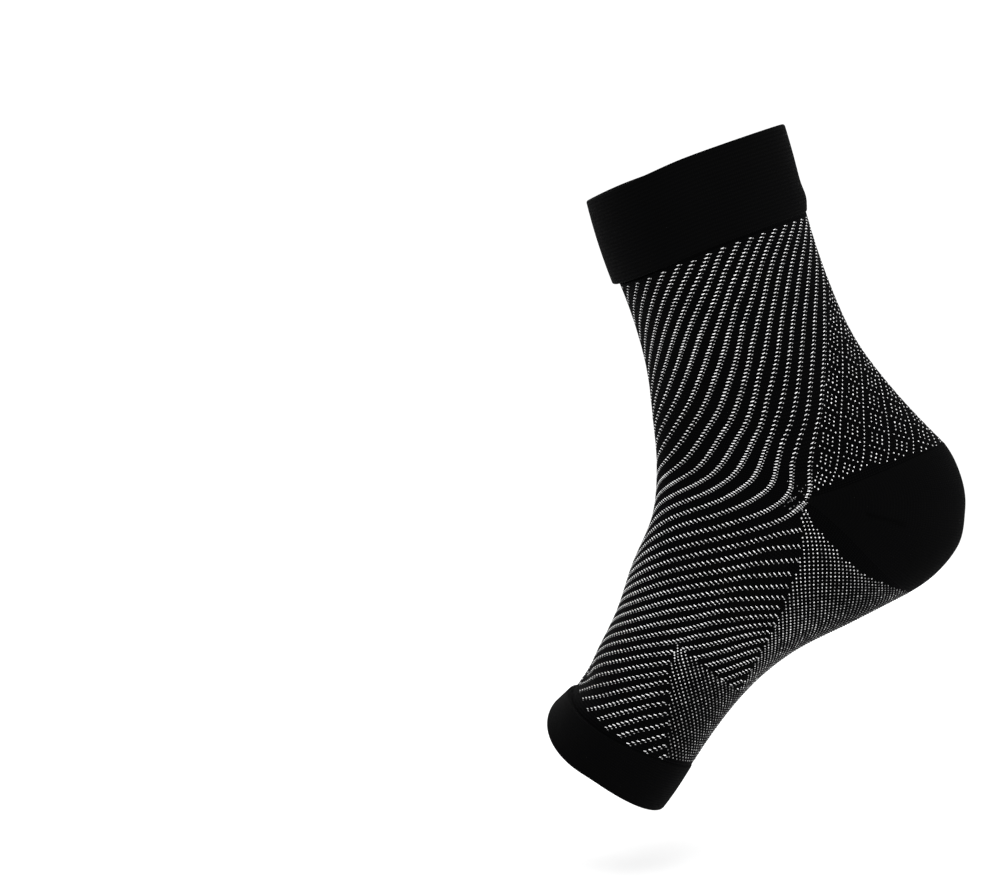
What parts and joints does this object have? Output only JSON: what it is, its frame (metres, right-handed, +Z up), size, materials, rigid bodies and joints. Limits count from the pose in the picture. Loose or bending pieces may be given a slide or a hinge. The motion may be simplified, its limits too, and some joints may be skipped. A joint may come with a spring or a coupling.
{
  "type": "toeless compression ankle sock",
  "caption": "Toeless knitted compression sock with a plain welt cuff, diagonal striped sleeve, open mesh zones, heel pocket and toe band, in its worn form.",
  "frame": {"origin": "middle of the ankle hollow, where the ankle holds the sock up", "axes": "+Z up along the lower leg towards the cuff, -X towards the toes, +X towards the heel, -Y towards the inner side of the foot"},
  "size_m": [0.1732, 0.0922, 0.2532],
  "materials": {
    "leg_cuff_knit": "plain black knit, doubled",
    "striped_knit": "black knit with white stitches in diagonal lines",
    "achilles_mesh_knit": "black open knit with white dots",
    "heel_knit": "plain black knit",
    "arch_mesh_knit": "black open knit with white dots",
    "ball_mesh_knit": "black open knit with white dots",
    "toe_band_knit": "plain black knit, doubled"
  },
  "bodies": {
    "root": {"leg_cuff": "leg_cuff_knit", "striped_sleeve": "striped_knit", "achilles_panel": "achilles_mesh_knit", "heel_pocket": "heel_knit", "arch_panel": "arch_mesh_knit", "ball_panel": "ball_mesh_knit", "toe_band": "toe_band_knit"}
  },
  "joints": []
}
